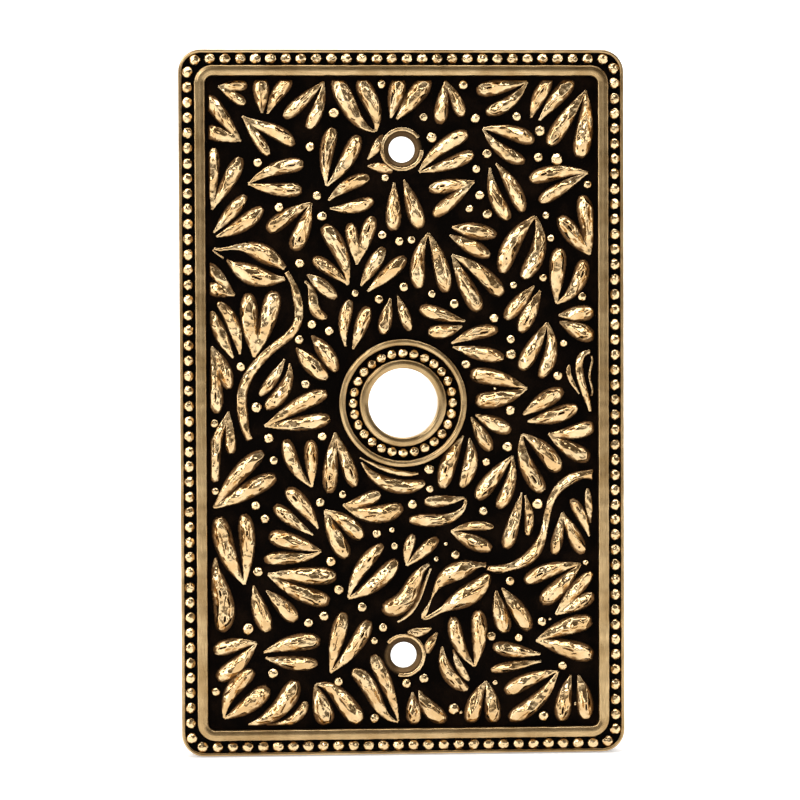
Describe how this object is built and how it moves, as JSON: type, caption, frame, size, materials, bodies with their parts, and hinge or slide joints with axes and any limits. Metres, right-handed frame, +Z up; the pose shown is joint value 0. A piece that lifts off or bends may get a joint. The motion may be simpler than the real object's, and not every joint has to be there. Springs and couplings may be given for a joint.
{
  "type": "wall plate cover",
  "caption": "Ornate cast upright wall plate cover with a round centre hole, screw holes above and below, beaded border and leaf relief in antiqued gold.",
  "frame": {"origin": "on the wall plane at the axis of the centre hole, the middle of the plate's back", "axes": "+Z up along the plate's long side, +X to the right seen from the front, +Y into the wall; the front faces -Y"},
  "size_m": [0.0732, 0.0074, 0.116],
  "materials": {
    "relief_gold": "polished antique gold on hammered cast relief, black patina in the hollows",
    "satin_gold": "satin champagne gold with fine pits and scratches",
    "dark_ground": "blackened cast ground, slightly rough",
    "cast_back": "dull as-cast back"
  },
  "bodies": {
    "root": {"back_tray": "cast_back", "border_beads": "relief_gold", "bottom_centre_leaves": "relief_gold", "bottom_left_leaves": "relief_gold", "bottom_right_leaves": "relief_gold", "centre_bushing": "satin_gold", "collar_beads": "relief_gold", "collar_ring": "satin_gold", "edge_tendril": "relief_gold", "frame_moulding": "satin_gold", "ground_panel": "dark_ground", "lower_calyx": "relief_gold", "lower_centre_leaves": "relief_gold", "lower_field_beads": "relief_gold", "lower_left_leaves": "relief_gold", "lower_right_leaves": "relief_gold", "lower_screw_bezel": "relief_gold", "lower_split_leaf": "relief_gold", "lower_vine_stem": "relief_gold", "middle_field_beads": "relief_gold", "middle_left_leaves": "relief_gold", "middle_right_leaves": "relief_gold", "outer_lip": "satin_gold", "top_centre_leaves": "relief_gold", "top_left_leaves": "relief_gold", "top_right_leaves": "relief_gold", "upper_calyx": "relief_gold", "upper_centre_leaves": "relief_gold", "upper_field_beads": "relief_gold", "upper_left_leaves": "relief_gold", "upper_right_leaves": "relief_gold", "upper_screw_bezel": "relief_gold", "upper_split_leaf": "relief_gold", "upper_vine_stem": "relief_gold"}
  },
  "joints": []
}
